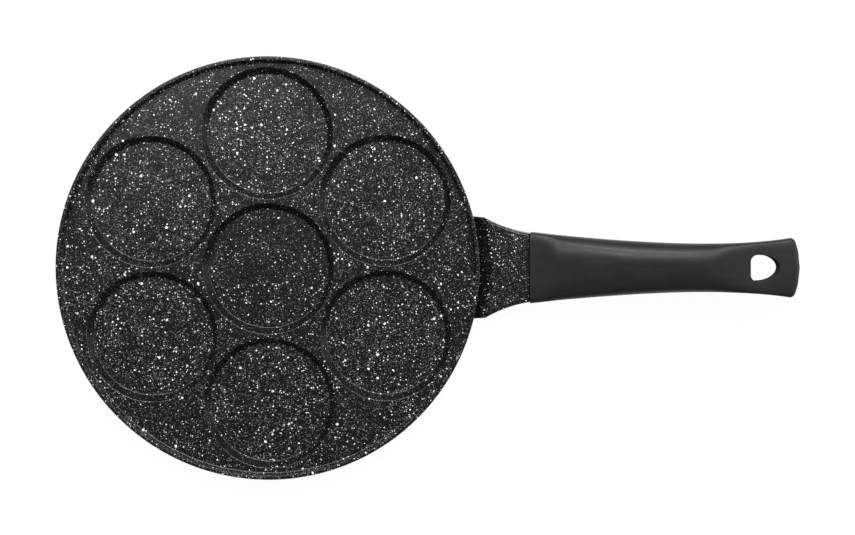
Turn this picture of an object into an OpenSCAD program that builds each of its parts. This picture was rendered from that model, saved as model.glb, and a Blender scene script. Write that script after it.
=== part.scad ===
// Seven-well pancake pan: a cast body with a cast-in neck, a moulded grip screwed to its tongue,
// and a perforated steel disc pressed into the base. Millimetres. Z is up, the base rests at z = 0
// on the pan's axis, and the handle runs along +X.

/* [Pan body] */
// Outer diameter across the rim
rim_d = 260; // [250:1:300]
// Height of the rim above the base
pan_h = 16; // [14.5:0.5:20]
// Height of the deck between the wells, above the base
deck_h = 10.5; // [9.5:0.25:12]
// Width of the rim's top face
rim_t = 2.3; // [2:0.1:3.5]
// Lean of the outer wall from upright, in degrees
wall_draft = 18; // [10:1:24]
// Lean of the inner wall from upright, in degrees
basin_draft = 8; // [6:1:18]
// Radius where the outer wall turns into the base
base_round = 5; // [3:0.5:7]
// Radius where the inner wall meets the deck
deck_fillet = 1.2; // [0.6:0.1:2]
// Radius along the rim's outer edge
lip_round = 0.7; // [0.4:0.1:1]
// Radius along the rim's inner edge
lip_inner = 0.5; // [0.3:0.1:0.8]

/* [Wells] */
// Depth of each well below the deck
well_depth = 5.3; // [4.5:0.1:6]
// Lean of a well's wall from upright, in degrees
well_draft = 33; // [24:1:42]
// Width of deck left between neighbouring wells
web = 2.6; // [2.6:0.2:8]
// Width of flat deck left between the outer wells and the inner wall
edge_web = 2.4; // [1.25:0.05:4]
// Radius round a well's floor
well_fillet = 0.8; // [0.5:0.1:2.5]
// Radius round a well's mouth
mouth_round = 0.7; // [0.4:0.1:1.4]

/* [Neck] */
// Width of the neck where it leaves the rim
neck_root_w = 62.8; // [54:0.2:68]
// Thickness of the neck under its hollow
neck_root_t = 5; // [4:0.5:6]
// Distance from the rim's outer edge to the grip
neck_l = 31.4; // [26:0.2:40]
// Length of neck beside the rim that keeps its full width
neck_level = 2; // [0:0.5:6]
// Share of the neck's taper that is swept and not straight
neck_sweep = 0.6; // [0:0.05:0.8]
// Width of the neck at the grip
neck_end_w = 42.2; // [38:0.2:48]
// Thickness of the neck at the grip
neck_end_t = 13.8; // [12.4:0.2:16]
// Drop from the rim's top to the bottom of the hollow beside it
neck_drop = 8.5; // [6:0.25:9]
// Radius of that hollow
neck_fillet = 1.8; // [1.6:0.2:4]
// Radius in plan where the neck's sides run out into the rim's wall
neck_flare = 2.6; // [1:0.2:4]
// Slope of the neck's top as it climbs out of the hollow, in degrees
climb = 45; // [30:1:50]
// Length of that climb
climb_l = 6.6; // [4:0.2:8]
// Radius of the crest at the top of the climb
crest_round = 5; // [3:0.2:8]
// Slope of the neck's top down behind the crest, in degrees
crest_fall = 8; // [0:1:14]
// Length of that slope down
fall_l = 1; // [0.4:0.1:3]
// Radius where it turns up into the long slope to the grip
dip_round = 7; // [3:0.5:10]
// Radius along the neck's long edges
neck_round = 1.6; // [0.8:0.1:3]
// Rise of the neck and of the start of the grip from level, in degrees
rise = 11; // [6:1:15]

/* [Grip] */
// Length of the grip along its own axis
grip_l = 162.6; // [140:0.2:190]
// How far the grip stands proud of the neck all round
grip_step = 0.75; // [0:0.05:1]
// Width of the grip at its waist
waist_w = 29.4; // [26:0.1:36]
// Distance from the joint to the waist
waist_at = 103; // [85:1:115]
// Width of the grip at its far end
grip_end_w = 36.5; // [32:0.5:42]
// Thickness of the grip where the hand closes round it
palm_t = 18.6; // [17:0.2:24]
// Thickness of the grip at its far end
grip_end_t = 13; // [10:0.2:16]
// How far the grip's end droops below a straight line
droop = 13; // [0:0.5:16]
// Length of the flat-topped collar at the grip's front
collar_l = 5.5; // [3:0.5:10]
// Length over which the collar turns into the crowned palm
crown_l = 13; // [5:1:20]
// Radius of the bow across the grip's far end, seen from above
end_bow = 47; // [28:1:80]
// Radius round the edges of the grip's far end
end_round = 2.6; // [1:0.2:4]

/* [Hanging hole] */
// Size of the hole along the grip
hang_l = 17.6; // [14:0.2:22]
// Size of the hole across the grip
hang_w = 16; // [12:0.2:20]
// Material left between the hole and the grip's end
hang_end = 12.9; // [8:0.1:16]
// Corner radius on the hole's straight side
hang_corner = 4; // [2:0.2:5]
// Lean of the hole's axis from upright towards the grip's end, in degrees
hang_lean = 2; // [-8:1:8]

/* [Tongue and screw] */
// Width of the tongue cast on the neck
tongue_w = 26; // [20:0.5:30]
// Thickness of the tongue
tongue_t = 5; // [4:0.2:5.4]
// Length of the tongue inside the grip
tongue_l = 36; // [30:1:45]
// Height of the tongue's middle above the grip's axis
tongue_up = 2.4; // [2:0.1:2.8]
// Gap all round the tongue in its socket
socket_gap = 0.3; // [0.15:0.05:0.5]
// Gap between the neck's end and the grip's front
joint_gap = 0.3; // [0.1:0.05:0.6]
// Outer diameter of the screw's thread
screw_d = 5; // [4:0.5:6]
// How far the screw's tip stays below the tongue's top
tip_short = 0.3; // [0.1:0.1:1.5]
// Gap round the screw's thread in the tongue
thread_gap = 0.05; // [0.05:0.05:0.15]
// Distance from the joint to the screw
screw_at = 20; // [16:1:24]
// Diameter of the screw's head
head_d = 9; // [8.5:0.5:10]
// Height of the screw's head
head_h = 3; // [2.4:0.1:3.4]
// Diameter of the flat washer
washer_d = 10; // [9:0.5:11]
// Thickness of the flat washer
washer_t = 0.8; // [0.5:0.1:1]
// Diameter of the spring washer
spring_d = 8.4; // [8:0.2:9]
// Thickness of the spring washer
spring_t = 1.1; // [0.8:0.1:1.3]
// Grip material between the socket and the flat washer
seat_wall = 2.6; // [2:0.1:2.8]
// Clearance round the screw and washers in the grip
screw_gap = 0.25; // [0.15:0.05:0.4]

/* [Base disc] */
// Diameter of the steel disc in the base
disc_d = 200; // [160:2:220]
// Thickness of the steel disc
disc_t = 0.8; // [0.5:0.1:1.2]
// Diameter of the disc's holes
disc_hole_d = 6.5; // [4:0.5:9]
// Distance from the middle of the outermost holes to the disc's edge
disc_margin = 14; // [8:1:24]
// Gap between the disc and the casting round it
disc_gap = 0.15; // [0.05:0.05:0.3]

/* [Hidden] */

ring_wells = 6;
disc_rings = 4;
disc_pitch = (disc_d / 2 - disc_margin) / disc_rings;
floor_h = deck_h - well_depth;

// The rounded edge reaches the rim's full radius, so its sharp corner would lie a little outside
rim_r = rim_d / 2;
lip_r = rim_r + lip_round * (1 / tan(45 - wall_draft / 2) - 1);

// The inner wall: where it would meet the deck, and where the deck turns flat
basin_r = rim_r - rim_t - (pan_h - deck_h) * tan(basin_draft);
deck_flat_r = basin_r - deck_fillet * tan(45 - basin_draft / 2);

// Seven equal wells fill the flat deck, six of them round a seventh
well_d = (deck_flat_r - edge_web - web) * 2 / 3;
well_pitch = well_d + web;
well_floor_r = well_d / 2 - well_depth * tan(well_draft);
well_centres = [
    [0, 0],
    for (i = [0 : ring_wells - 1]) well_pitch * [sin(i * 360 / ring_wells), cos(i * 360 / ring_wells)]
];

// The neck's top in side view: a round hollow that starts upright just inside the rim's wall, a
// climb, a round crest, a shallow dip and a long slope to the joint
neck_bite = 0.15;
hollow_z = pan_h - neck_drop + neck_fillet;
hollow_r = lip_r - (pan_h - hollow_z) * tan(wall_draft) + neck_fillet - neck_bite;
climb_from = [hollow_r + neck_fillet * sin(climb), hollow_z - neck_fillet * cos(climb)];
crest_from = climb_from + climb_l * [cos(climb), sin(climb)];
crest_mid = crest_from + crest_round * [sin(climb), -cos(climb)];
fall_from = crest_mid + crest_round * [sin(crest_fall), cos(crest_fall)];
dip_from = fall_from + fall_l * [cos(crest_fall), -sin(crest_fall)];
dip_mid = dip_from + dip_round * [sin(crest_fall), cos(crest_fall)];
slope_from = dip_mid + dip_round * [sin(rise), -cos(rise)];

// The joint plane leans back by the rise, with its middle half the neck's thickness down
joint_x = rim_r + neck_l;
joint_top = slope_from[1] + (joint_x - slope_from[0]) * tan(rise);
joint_z = joint_top - neck_end_t / 2 / cos(rise);
neck_root_z = pan_h - neck_drop - neck_root_t;
neck_end_z = joint_top - neck_end_t / cos(rise);
neck_foot_r = rim_r - 12;
flare_in = 0.5;

// Heights in the grip's own frame, measured from its axis
socket_low = tongue_up - tongue_t / 2 - socket_gap;
seat_z = socket_low - seat_wall;
spring_z = seat_z - washer_t;
head_z = spring_z - spring_t;
screw_l = tongue_up + tongue_t / 2 - tip_short - head_z;
bore_d = washer_d + 2 * screw_gap;

// The grip swells over its first stretch and thins from just before its waist. Its section's
// corners follow a power curve that is boxy at both ends and roundest in the hand
swell_l = 38;
thin_from = waist_at - 20;
collar_square = 10;
crown_square = 3.2;
palm_square = 2.5;
palm_l = 46;
end_square = 9;
flat_from = waist_at + 4;
flat_l = 34;
flare_front = 1.6;
flare_back = 2.4;
bow_l = 30;
front_edge = 0.6;
hang_mid = grip_l - hang_end - hang_l / 2;
hang_shoulder = 1;

corner_steps = 4;
arc_steps = 8;
row_steps = 10;
bore_fn = 64;
well_fn = 96;
pan_fn = 180;
small = 0.01;

function unit(v) = v / norm(v);

// A corner at p between the points a and b, rounded to radius r
function corner(a, p, b, r, steps = arc_steps) =
    let (
        u = unit(a - p),
        v = unit(b - p),
        half = acos(u * v) / 2,
        centre = p + unit(u + v) * r / sin(half),
        first = p + u * r / tan(half) - centre,
        last = p + v * r / tan(half) - centre,
        start = atan2(first[1], first[0]),
        turn = (atan2(last[1], last[0]) - start + 540) % 360 - 180
    )
    [for (i = [0 : steps]) centre + r * [cos(start + turn * i / steps), sin(start + turn * i / steps)]];

// An outline from points [x, y] or [x, y, radius], with each given radius rounded
function outline(points) =
    let (n = len(points), at = function(i) [points[i % n][0], points[i % n][1]])
    [
        for (i = [0 : n - 1])
            each is_undef(points[i][2])
                ? [at(i)]
                : corner(at(i + n - 1), at(i), at(i + 1), points[i][2])
    ];

function blend(a, b, t) = a + (b - a) * t;
function limit(t) = max(0, min(1, t));
function ease(t) = let (s = limit(t)) s * s * (3 - 2 * s);
function power(v, n) = sign(v) * pow(abs(v), n);

// A closed skin over rows of points that all have the same even length. Its end caps are strips
// between the points on either side, so a cap that is bowed one way stays true
module skin(rows) {
    n = len(rows[0]);
    last = len(rows) - 1;
    sides = [
        for (i = [0 : last - 1], j = [0 : n - 1])
            let (a = i * n + j, b = i * n + (j + 1) % n)
            each [[a, b + n, b], [a, a + n, b + n]]
    ];
    near = [
        for (j = [0 : n / 2 - 2]) [j, j + 1, n - j - 1],
        for (j = [1 : n / 2 - 1]) [j, n - j - 1, n - j]
    ];
    far = [for (face = near) last * n * [1, 1, 1] + [face[0], face[2], face[1]]];
    polyhedron(points = [for (row = rows) each row], faces = concat(sides, near, far));
}

// Casting

module body_blank() {
    foot = lip_r - pan_h * tan(wall_draft);
    rotate_extrude($fn = pan_fn)
        polygon(outline([
            [0, 0],
            [foot, 0, base_round],
            [lip_r, pan_h, lip_round],
            [0, pan_h]
        ]));
}

module basin() {
    over = 2;
    inner = rim_r - rim_t;
    rotate_extrude($fn = pan_fn)
        polygon(outline([
            [0, deck_h],
            [basin_r, deck_h, deck_fillet],
            [inner, pan_h, lip_inner],
            [inner + lip_inner, pan_h],
            [inner + lip_inner, pan_h + over],
            [0, pan_h + over]
        ]));
}

module well() {
    over = 1;
    rotate_extrude($fn = well_fn)
        polygon(outline([
            [0, floor_h],
            [well_floor_r, floor_h, well_fillet],
            [well_d / 2, deck_h, mouth_round],
            [well_d / 2 + mouth_round, deck_h],
            [well_d / 2 + mouth_round, deck_h + over],
            [0, deck_h + over]
        ]));
}

// Half the neck's width at a distance x from the pan's axis: level by the rim, then drawn in
function neck_half(x) =
    let (
        spread = (neck_root_w - neck_end_w) / 2,
        t = limit((joint_x - x) / (neck_l - neck_level))
    )
    neck_end_w / 2 + spread * blend(t, t * t, neck_sweep);

// How far a row at radius r falls back at a distance y off the neck's middle line
function row_sag(r, y) =
    limit((joint_x - r) / (joint_x - rim_r)) * (r - sqrt(r * r - y * y));

// How much the neck widens in a quarter round where it runs out into the rim's wall
function root_flare(r) =
    let (left = neck_flare - limit((r - rim_r + flare_in) / neck_flare) * neck_flare)
    neck_flare - sqrt(neck_flare * neck_flare - left * left);

function neck_edge(r) =
    let (first = neck_half(r - row_sag(r, neck_root_w / 2)))
    neck_half(r - row_sag(r, first)) + root_flare(r);

// One row of the neck: a rounded bar section that follows the rim's curve in plan, and leans with
// the rim's wall at the root and with the joint at the other end
function neck_row(r, top) =
    let (
        t = limit((r - rim_r) / neck_l),
        w = neck_edge(r),
        low = blend(neck_root_z, neck_end_z, t),
        c = min(neck_round, (top - low) / 2 - small),
        flats = 6,
        arc = [for (i = [0 : corner_steps]) i * 90 / corner_steps],
        side = [for (a = arc) [w - c + c * cos(a), top - c + c * sin(a)]],
        under = [for (a = arc) [w - c + c * sin(a), low + c - c * cos(a)]],
        run = [for (i = [1 : flats - 1]) (w - c) * (1 - 2 * i / flats)],
        ring = concat(
            side,
            [for (y = run) [y, top]],
            [for (i = [corner_steps : -1 : 0]) [-side[i][0], side[i][1]]],
            [for (i = [corner_steps : -1 : 0]) [-under[i][0], under[i][1]]],
            [for (i = [len(run) - 1 : -1 : 0]) [run[i], low]],
            under
        ),
        back = function(z) t * (z - joint_z) * tan(rise) + pow(1 - t, 3) * (hollow_z - z) * tan(wall_draft)
    )
    [for (p = ring) [r - row_sag(r, p[0]) - back(p[1]), p[0], p[1]]];

module neck() {
    line = concat(
        [[neck_foot_r, hollow_z]],
        [
            for (i = [0 : arc_steps])
                let (a = 180 + (90 + climb) * i / arc_steps)
                [hollow_r, hollow_z] + neck_fillet * [cos(a), sin(a)]
        ],
        [
            for (i = [0 : corner_steps])
                let (a = blend(climb, -crest_fall, i / corner_steps))
                crest_mid + crest_round * [-sin(a), cos(a)]
        ],
        [
            for (i = [0 : corner_steps])
                let (a = blend(-crest_fall, rise, i / corner_steps))
                dip_mid + dip_round * [sin(a), -cos(a)]
        ],
        [
            for (i = [1 : arc_steps])
                let (r = blend(slope_from[0], joint_x, i / arc_steps))
                [r, slope_from[1] + (r - slope_from[0]) * tan(rise)]
        ]
    );
    skin([for (p = line) neck_row(p[0], p[1])]);
}

// Moves what follows into the grip's own frame, whose x axis runs up the handle
module on_grip() {
    translate([joint_x, 0, joint_z])
        rotate([0, -rise, 0])
            children();
}

module tongue_bar(gap) {
    root = 4;
    translate([-root, -tongue_w / 2 - gap, tongue_up - tongue_t / 2 - gap])
        cube([tongue_l + root + gap, tongue_w + 2 * gap, tongue_t + 2 * gap]);
}

module disc_holes(d, h) {
    for (ring = [1 : disc_rings], i = [0 : 6 * ring - 1])
        rotate(i * 60 / ring)
            translate([ring * disc_pitch, 0, -small])
                cylinder(h = h + 2 * small, d = d, $fn = bore_fn);
}

module pan_casting() {
    color("#2b2b2b")
        difference() {
            union() {
                body_blank();
                neck();
                on_grip()
                    tongue_bar(0);
            }
            basin();
            for (centre = well_centres)
                translate(centre)
                    well();
            difference() {
                translate([0, 0, -1])
                    cylinder(h = disc_t + 1, d = disc_d + 2 * disc_gap, $fn = pan_fn);
                disc_holes(disc_hole_d - 2 * disc_gap, disc_t + 1);
            }
            on_grip()
                translate([screw_at, 0, tongue_up - tongue_t])
                    cylinder(h = 2 * tongue_t, d = screw_d + 2 * thread_gap, $fn = bore_fn);
        }
}

// Base disc

module induction_disc() {
    color("#9a9a9a")
        difference() {
            cylinder(h = disc_t, d = disc_d, $fn = pan_fn);
            disc_holes(disc_hole_d, disc_t);
        }
}

// Grip

// Half the grip's width at a distance x from the joint: a waist between two flares
function grip_half(x) =
    let (
        waist = waist_w / 2,
        front = neck_end_w / 2 + grip_step,
        back = grip_end_w / 2
    )
    x < waist_at
        ? waist + (front - waist) * pow(1 - x / waist_at, flare_front)
        : waist + (back - waist) * pow((x - waist_at) / (grip_l - waist_at), flare_back);

// Half the grip's thickness at a distance x from the joint
function grip_half_t(x) =
    let (
        front = neck_end_t / 2 + grip_step,
        swell = blend(front, palm_t / 2, ease(x / swell_l))
    )
    blend(swell, grip_end_t / 2, ease((x - thin_from) / (grip_l - thin_from)));

// Squareness of the section: a flat collar, a crowned palm and a boxy far end
function grip_square(x) =
    let (crown = blend(collar_square, crown_square, ease((x - collar_l) / crown_l)))
    crown
        + (palm_square - crown_square) * ease((x - collar_l - crown_l) / palm_l)
        + (end_square - palm_square) * ease((x - flat_from) / flat_l);

// How far the grip's middle line lies below a straight one
function grip_fall(x) = droop * pow(x / grip_l, 2);

// One row of the grip, drawn in by inset round its edge and bowed by bow times the end's curve
function grip_row(x, inset, bow) =
    let (
        w = grip_half(min(x, grip_l)) - inset,
        h = grip_half_t(min(x, grip_l)) - inset,
        n = 2 / grip_square(x),
        points = 32
    )
    [
        for (i = [0 : points - 1])
            let (
                a = i * 360 / points,
                y = w * power(cos(a), n),
                back = bow * (end_bow - sqrt(end_bow * end_bow - y * y))
            )
            [x - back, y, h * power(sin(a), n) - grip_fall(x)]
    ];

module grip_body() {
    bow_from = grip_l - bow_l;
    body_to = grip_l - end_round;
    crown_to = collar_l + crown_l;
    stations = [
        joint_gap + front_edge,
        for (i = [0 : corner_steps]) blend(collar_l, crown_to, i / corner_steps),
        for (i = [1 : row_steps]) blend(crown_to, bow_from, i / row_steps)
    ];
    rows = concat(
        [grip_row(joint_gap, front_edge, 0)],
        [for (x = stations) grip_row(x, 0, 0)],
        [for (i = [1 : corner_steps]) let (t = i / corner_steps) grip_row(blend(bow_from, body_to, t), 0, t)],
        [
            for (i = [1 : corner_steps])
                let (a = i * 80 / corner_steps)
                grip_row(body_to + end_round * sin(a), end_round * (1 - cos(a)), 1)
        ]
    );
    skin(rows);
}

// The hole is a half ellipse with a straight side towards the pan
module hang_hole() {
    half = hang_w / 2;
    left = -hang_l / 2;
    turn_x = left + hang_corner + hang_shoulder;
    steps = 16;
    d_shape = concat(
        [
            for (i = [0 : steps])
                let (a = -90 + i * 180 / steps)
                [turn_x + (hang_l / 2 - turn_x) * cos(a), half * sin(a)]
        ],
        corner([turn_x, half], [left, half], [left, 0], hang_corner),
        corner([left, 0], [left, -half], [turn_x, -half], hang_corner)
    );
    translate([hang_mid, 0, -grip_fall(hang_mid)])
        rotate([0, rise + hang_lean, 0])
            linear_extrude(height = 2 * palm_t, center = true)
                polygon(d_shape);
}

module handle() {
    color("#1f1f1f")
        on_grip()
            difference() {
                grip_body();
                tongue_bar(socket_gap);
                hang_hole();
                translate([screw_at, 0, seat_z - palm_t])
                    cylinder(h = palm_t, d = bore_d, $fn = bore_fn);
                translate([screw_at, 0, seat_z - 1])
                    cylinder(h = seat_wall + 2, d = screw_d + 2 * screw_gap, $fn = bore_fn);
            }
}

// Screw and washers, stacked from the socket's underside down

module handle_screw() {
    crown = 0.7;
    slot_w = 1.2;
    slot_l = head_d * 0.55;
    slot_depth = 1.6;
    color("#b8b8b8")
        on_grip()
            translate([screw_at, 0, head_z])
                difference() {
                    rotate_extrude($fn = bore_fn)
                        polygon(outline([
                            [0, -head_h],
                            [head_d / 2, -head_h, crown],
                            [head_d / 2, 0],
                            [screw_d / 2, 0],
                            [screw_d / 2, screw_l - crown],
                            [screw_d / 2 - crown, screw_l],
                            [0, screw_l]
                        ]));
                    for (turn = [0, 90])
                        rotate(turn)
                            translate([-slot_l / 2, -slot_w / 2, -head_h - 1])
                                cube([slot_l, slot_w, slot_depth + 1]);
                }
}

module washer_ring(d, t) {
    difference() {
        cylinder(h = t, d = d, $fn = bore_fn);
        translate([0, 0, -1])
            cylinder(h = t + 2, d = screw_d + 2 * screw_gap, $fn = bore_fn);
    }
}

module spring_washer() {
    split = 0.8;
    color("#a0a0a0")
        on_grip()
            translate([screw_at, 0, spring_z - spring_t])
                difference() {
                    washer_ring(spring_d, spring_t);
                    translate([0, -split / 2, -1])
                        cube([spring_d, split, spring_t + 2]);
                }
}

module flat_washer() {
    color("#c4c4c4")
        on_grip()
            translate([screw_at, 0, seat_z - washer_t])
                washer_ring(washer_d, washer_t);
}

pan_casting();
induction_disc();
handle();
handle_screw();
spring_washer();
flat_washer();
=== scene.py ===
"""Looks of a seven-well pancake pan: the speckled casting, the moulded grip, its screw and the base disc.

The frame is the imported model's: metres, Z up, the base at z = 0 on the pan's axis and the handle
along +X. Sizes are fields in millimetres and turn into metres when a mesh is finished.
"""

import logging
import math
from collections.abc import Iterable, Sequence
from dataclasses import dataclass, field
from enum import Enum
from functools import reduce

import bmesh
import bpy
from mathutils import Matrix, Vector
from mathutils.geometry import delaunay_2d_cdt


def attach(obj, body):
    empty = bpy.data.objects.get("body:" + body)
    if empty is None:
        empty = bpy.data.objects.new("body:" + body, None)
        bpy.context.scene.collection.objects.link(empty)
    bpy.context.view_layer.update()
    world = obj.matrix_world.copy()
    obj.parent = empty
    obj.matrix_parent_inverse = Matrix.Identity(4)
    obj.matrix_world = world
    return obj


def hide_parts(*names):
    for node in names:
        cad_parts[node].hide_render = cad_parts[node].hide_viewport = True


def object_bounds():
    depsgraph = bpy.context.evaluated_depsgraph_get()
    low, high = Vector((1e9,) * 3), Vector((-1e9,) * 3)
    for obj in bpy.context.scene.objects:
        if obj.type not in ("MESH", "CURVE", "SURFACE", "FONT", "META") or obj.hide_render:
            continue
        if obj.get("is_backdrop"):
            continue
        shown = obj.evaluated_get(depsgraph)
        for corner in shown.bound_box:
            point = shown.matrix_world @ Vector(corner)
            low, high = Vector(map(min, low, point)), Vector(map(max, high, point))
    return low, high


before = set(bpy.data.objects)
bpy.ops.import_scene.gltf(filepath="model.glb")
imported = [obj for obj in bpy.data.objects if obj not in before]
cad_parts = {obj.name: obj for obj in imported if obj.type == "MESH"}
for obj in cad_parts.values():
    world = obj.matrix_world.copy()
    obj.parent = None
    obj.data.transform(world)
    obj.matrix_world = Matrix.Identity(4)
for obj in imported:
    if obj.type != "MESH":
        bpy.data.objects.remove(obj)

LOG = logging.getLogger("pancake_pan")
MM = 0.001
BODY = "root"
WELD_WITHIN = 1e-7  # metres
FILL_ERROR = 1e-5  # millimetres
FLATS_WEIGHT = 80

Point2 = tuple[float, float]
Point3 = tuple[float, float, float]
Span = tuple[float, float]
Colour = tuple[float, float, float, float]


def grey(level: float) -> Colour:
    """Returns an opaque grey of a linear level."""
    return (level, level, level, 1.0)


def blend(a: float, b: float, t: float) -> float:
    """Returns the value a share t of the way from a to b."""
    return a + (b - a) * t


def limit(t: float) -> float:
    """Returns t kept between 0 and 1."""
    return max(0.0, min(1.0, t))


def ease(t: float) -> float:
    """Returns t between 0 and 1 with a soft start and end."""
    s = limit(t)
    return s * s * (3 - 2 * s)


def steps(start: float, end: float, count: int) -> list[float]:
    """Returns count + 1 values from start to end, both included."""
    return [blend(start, end, i / count) for i in range(count + 1)]


def sweep(start: float, end: float, count: int) -> list[float]:
    """Returns count + 1 angles in radians from start to end, both given in degrees."""
    return [math.radians(degrees) for degrees in steps(start, end, count)]


def circle(radius: float, count: int) -> list[Point2]:
    """Returns count points on a circle round the origin, counter-clockwise from +X."""
    turns = [2 * math.pi * i / count for i in range(count)]
    return [(radius * math.cos(a), radius * math.sin(a)) for a in turns]


def arc(centre: Sequence[float], radius: float, start: float, end: float, count: int) -> list[Point2]:
    """Returns count + 1 points of an arc between two directions, given in degrees."""
    x, y = centre
    return [(x + radius * math.cos(a), y + radius * math.sin(a)) for a in sweep(start, end, count)]


def spoke(length: float, direction: float) -> Vector:
    """Returns the flat vector of a length and a direction in degrees."""
    return Vector((length * math.cos(math.radians(direction)), length * math.sin(math.radians(direction))))


@dataclass(frozen=True)
class Corner:
    """A point of an outline, with the radius that rounds it."""

    x: float
    y: float
    radius: float = 0.0


def round_corner(before: Corner, at: Corner, after: Corner, count: int) -> list[Point2]:
    """Rounds one corner of an outline.

    Args:
        before: The outline's point before the corner.
        at: The corner itself, with its radius.
        after: The outline's point after the corner.
        count: How many steps the arc takes.

    Returns:
        The arc's points, or the corner alone where it has no radius.
    """
    tip = Vector((at.x, at.y))
    if at.radius <= 0:
        return [(at.x, at.y)]
    u = (Vector((before.x, before.y)) - tip).normalized()
    v = (Vector((after.x, after.y)) - tip).normalized()
    half = u.angle(v) / 2
    centre = tip + (u + v).normalized() * (at.radius / math.sin(half))
    reach = at.radius / math.tan(half)
    first = tip + u * reach - centre
    last = tip + v * reach - centre
    start = math.degrees(math.atan2(first.y, first.x))
    turn = (math.degrees(math.atan2(last.y, last.x)) - start + 540) % 360 - 180
    return arc(centre, at.radius, start, start + turn, count)


def path(corners: Sequence[Corner], closed: bool = False, count: int = 7) -> list[Point2]:
    """Lists the points along an outline with its corners rounded.

    Args:
        corners: The outline's corners in order.
        closed: Whether the last corner joins the first.
        count: How many steps each rounded corner takes.

    Returns:
        The points in order.
    """
    points: list[Point2] = []
    n = len(corners)
    for i, corner in enumerate(corners):
        if not closed and i in (0, n - 1):
            points.append((corner.x, corner.y))
        else:
            points += round_corner(corners[i - 1], corner, corners[(i + 1) % n], count)
    return points


class Cap(Enum):
    """How the ends of a loft are closed."""

    POINT = "point"
    STRIPS = "strips"


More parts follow.
